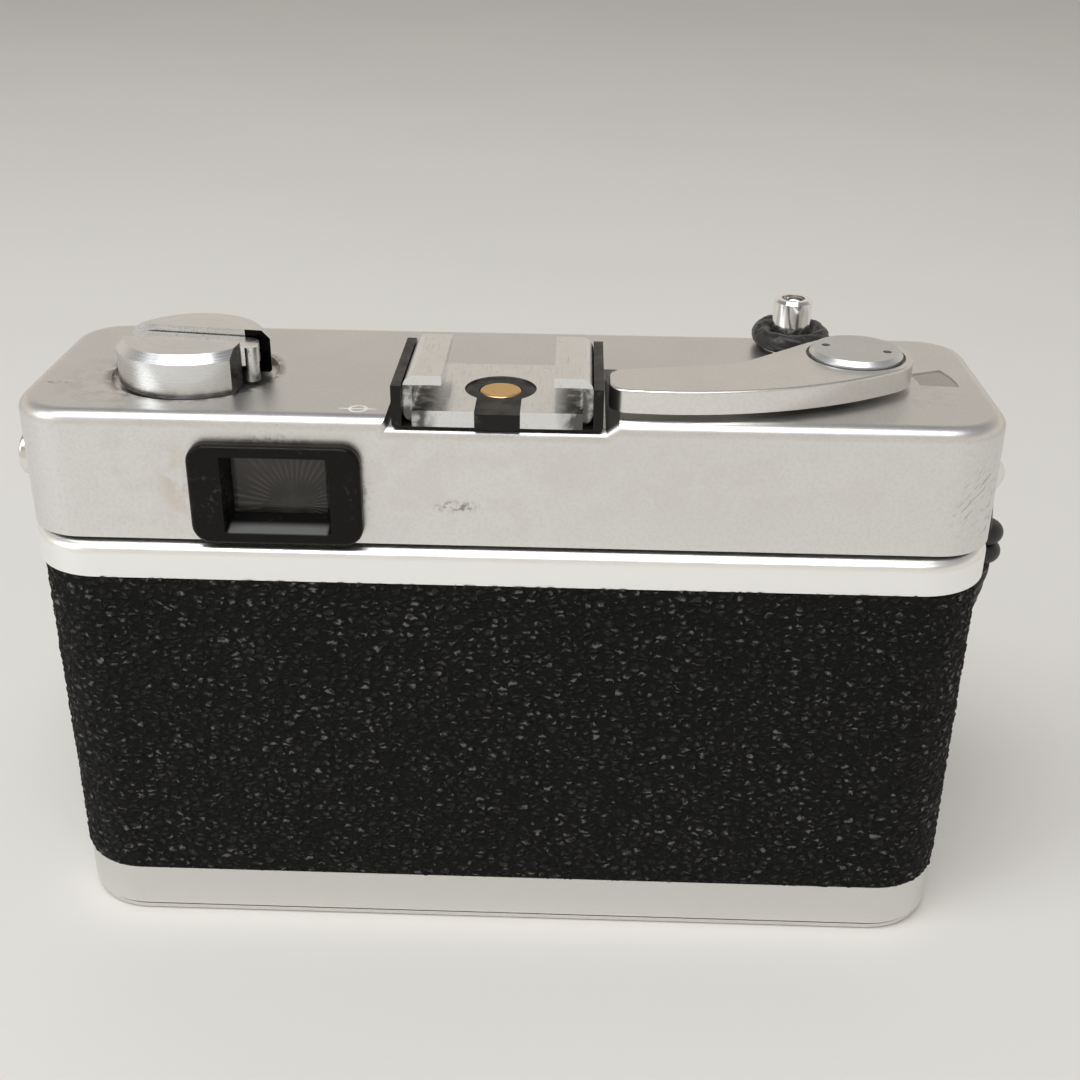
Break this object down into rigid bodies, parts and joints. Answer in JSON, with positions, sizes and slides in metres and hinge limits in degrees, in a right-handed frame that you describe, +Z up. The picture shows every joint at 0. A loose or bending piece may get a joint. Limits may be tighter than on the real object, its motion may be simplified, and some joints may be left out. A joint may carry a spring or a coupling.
{
  "type": "half frame camera",
  "caption": "Compact metal half frame film camera with a hinged back, folding rewind crank, wind lever, accessory shoe, leaf shutter and lens with focus and exposure rings.",
  "frame": {"origin": "mouth of the tripod socket, on the underside", "axes": "+Z up out of the top cover, -Y out through the lens, +Y out through the back door, +X towards the rewind knob"},
  "size_m": [0.1224, 0.0527, 0.076],
  "materials": {
    "satin_chrome": "satin, fine bead-blasted chrome plate",
    "polished_chrome": "bright turned chrome",
    "turned_metal": "fine turned satin",
    "bright_sheet": "bent sheet, worn bright",
    "black_plastic": "matt black moulding",
    "black_paint": "satin black enamel",
    "leatherette": "pebbled black leatherette",
    "cast_alloy": "die-cast, flat black inside",
    "black_anodised": "black anodised, knurled",
    "blade_steel": "thin spring steel",
    "brass": "machined",
    "clear_glass": "coated glass",
    "smoke_window": "smoked clear plastic",
    "frosted_window": "frosted, ribbed",
    "meter_case": "moulded case",
    "meter_red": "painted pointer",
    "braided_cord": "black braid"
  },
  "bodies": {
    "camera": {"accessory_shoe": "bright_sheet", "base_plate": "satin_chrome", "body_casting": "cast_alloy", "counter_window": "smoke_window", "eyepiece_frame": "black_plastic", "eyepiece_lens": "clear_glass", "finder_tube": "black_plastic", "finder_window": "clear_glass", "frameline_window": "frosted_window", "front_leather": "leatherette", "front_shell": "satin_chrome", "hinge_pin": "turned_metal", "lens_barrel": "black_anodised", "lens_flange": "bright_sheet", "meter_movement": "meter_case", "rear_lens": "clear_glass", "release_bush": "turned_metal", "rocker_bracket": "cast_alloy", "shoe_base": "black_plastic", "shoe_contact": "polished_chrome", "shutter_housing": "black_anodised", "slotted_screws": "turned_metal", "strap_cord": "braided_cord", "strap_hitch": "braided_cord", "strap_lug": "turned_metal", "sync_socket": "turned_metal", "timer_boss": "black_anodised", "top_cover": "satin_chrome", "top_deck": "cast_alloy", "tripod_bush": "brass", "window_bezel": "black_plastic"},
    "latch_lift": {"latch_collar": "cast_alloy"},
    "knob": {"rewind_knob": "polished_chrome", "rewind_shaft": "blade_steel"},
    "crank": {"rewind_crank": "turned_metal"},
    "latch": {"door_latch": "blade_steel"},
    "advance": {"wind_lever": "turned_metal", "lever_screw": "polished_chrome", "wind_shaft": "blade_steel"},
    "release": {"shutter_button": "polished_chrome"},
    "rocker": {"release_rocker": "blade_steel"},
    "counter": {"counter_dial": "black_plastic"},
    "needle": {"meter_needle": "meter_red"},
    "spool": {"takeup_spool": "black_plastic"},
    "sprocket": {"film_sprocket": "black_plastic"},
    "rewind_button": {"rewind_release": "blade_steel"},
    "battery_door": {"battery_cover": "satin_chrome"},
    "door": {"back_door": "satin_chrome", "door_leather": "leatherette"},
    "pressure": {"pressure_plate": "black_paint", "plate_spring": "blade_steel"},
    "focus": {"focus_ring": "black_anodised"},
    "front_group": {"front_barrel": "black_anodised", "front_lens": "clear_glass", "name_ring": "black_anodised", "cds_cell": "clear_glass"},
    "exposure": {"exposure_ring": "black_anodised"},
    "timer": {"timer_lever": "black_anodised"},
    "blade_a": {"shutter_blade_a": "blade_steel"},
    "blade_b": {"shutter_blade_b": "blade_steel"}
  },
  "joints": [
    {"name": "rewind_lift", "type": "slide", "parent": "camera", "child": "latch_lift", "axis": [0, 0, 1], "range_m": [0, 0.006]},
    {"name": "knob_spin", "type": "hinge", "parent": "latch_lift", "child": "knob", "pos_m": [0.0381, 0.0022, 0.06], "axis": [0, 0, 1], "continuous": true},
    {"name": "crank_fold", "type": "hinge", "parent": "knob", "child": "crank", "pos_m": [0.04425, 0.00144, 0.0726], "axis": [0.1219, 0.9925, 0], "range_deg": [0, 150]},
    {"name": "latch_slide", "type": "slide", "parent": "camera", "child": "latch", "axis": [0, 0, 1], "range_m": [0, 0.004]},
    {"name": "wind_stroke", "type": "hinge", "parent": "camera", "child": "advance", "pos_m": [-0.0408, 0.0012, 0.07], "axis": [0, 0, 1], "range_deg": [0, 135], "stiffness_Nm_per_rad": 0.002},
    {"name": "release_press", "type": "slide", "parent": "camera", "child": "release", "axis": [0, 0, -1], "range_m": [0, 0.0018], "stiffness_N_per_m": 120},
    {"name": "rocker_tip", "type": "hinge", "parent": "camera", "child": "rocker", "pos_m": [-0.023, -0.0122, 0.0657], "axis": [0, -1, 0], "range_deg": [0, 10]},
    {"name": "counter_turn", "type": "hinge", "parent": "camera", "child": "counter", "pos_m": [-0.0408, 0.0012, 0.062], "axis": [0, 0, 1], "range_deg": [0, 300]},
    {"name": "needle_swing", "type": "hinge", "parent": "camera", "child": "needle", "pos_m": [0.005, -0.002, 0.06], "axis": [0, 0, 1], "range_deg": [0, 35]},
    {"name": "spool_turn", "type": "hinge", "parent": "camera", "child": "spool", "pos_m": [-0.0408, 0.0012, 0.028], "axis": [0, 0, 1], "continuous": true},
    {"name": "sprocket_turn", "type": "hinge", "parent": "camera", "child": "sprocket", "pos_m": [-0.021, 0.0068, 0.028], "axis": [0, 0, 1], "continuous": true},
    {"name": "rewind_unlock", "type": "slide", "parent": "camera", "child": "rewind_button", "axis": [0, 0, 1], "range_m": [0, 0.0015], "stiffness_N_per_m": 80},
    {"name": "battery_turn", "type": "hinge", "parent": "camera", "child": "battery_door", "pos_m": [0.017, -0.005, 0.001], "axis": [0, 0, -1], "range_deg": [0, 45]},
    {"name": "door_swing", "type": "hinge", "parent": "camera", "child": "door", "pos_m": [-0.0573, 0.0026, 0.028], "axis": [0, 0, 1], "range_deg": [0, 100]},
    {"name": "pressure_travel", "type": "slide", "parent": "door", "child": "pressure", "axis": [0, 1, 0], "range_m": [0, 0.0008], "stiffness_N_per_m": 400},
    {"name": "focus_turn", "type": "hinge", "parent": "camera", "child": "focus", "pos_m": [0, -0.02, 0.0285], "axis": [0, -1, 0], "range_deg": [0, 90]},
    {"name": "focus_travel", "type": "slide", "parent": "camera", "child": "front_group", "axis": [0, -1, 0], "range_m": [0, 0.0016]},
    {"name": "exposure_turn", "type": "hinge", "parent": "camera", "child": "exposure", "pos_m": [0, -0.02, 0.0285], "axis": [0, -1, 0], "range_deg": [0, 120]},
    {"name": "timer_turn", "type": "hinge", "parent": "camera", "child": "timer", "pos_m": [0.036, -0.017, 0.033], "axis": [0, -1, 0], "range_deg": [0, 120]},
    {"name": "blade_a_open", "type": "hinge", "parent": "camera", "child": "blade_a", "pos_m": [-0.0125, -0.008, 0.0285], "axis": [0, -1, 0], "range_deg": [0, 38]},
    {"name": "blade_b_open", "type": "hinge", "parent": "camera", "child": "blade_b", "pos_m": [0.0125, -0.008, 0.0285], "axis": [0, -1, 0], "range_deg": [0, 38]}
  ],
  "couplings": [
    {"joint": "latch_slide", "follows": "rewind_lift", "ratio": 0.6667},
    {"joint": "rocker_tip", "follows": "release_press", "rad_per_m": 92.115},
    {"joint": "focus_travel", "follows": "focus_turn", "m_per_rad": 0.0010186},
    {"joint": "sprocket_turn", "follows": "spool_turn", "ratio": 1.17},
    {"joint": "blade_b_open", "follows": "blade_a_open", "ratio": 1}
  ]
}
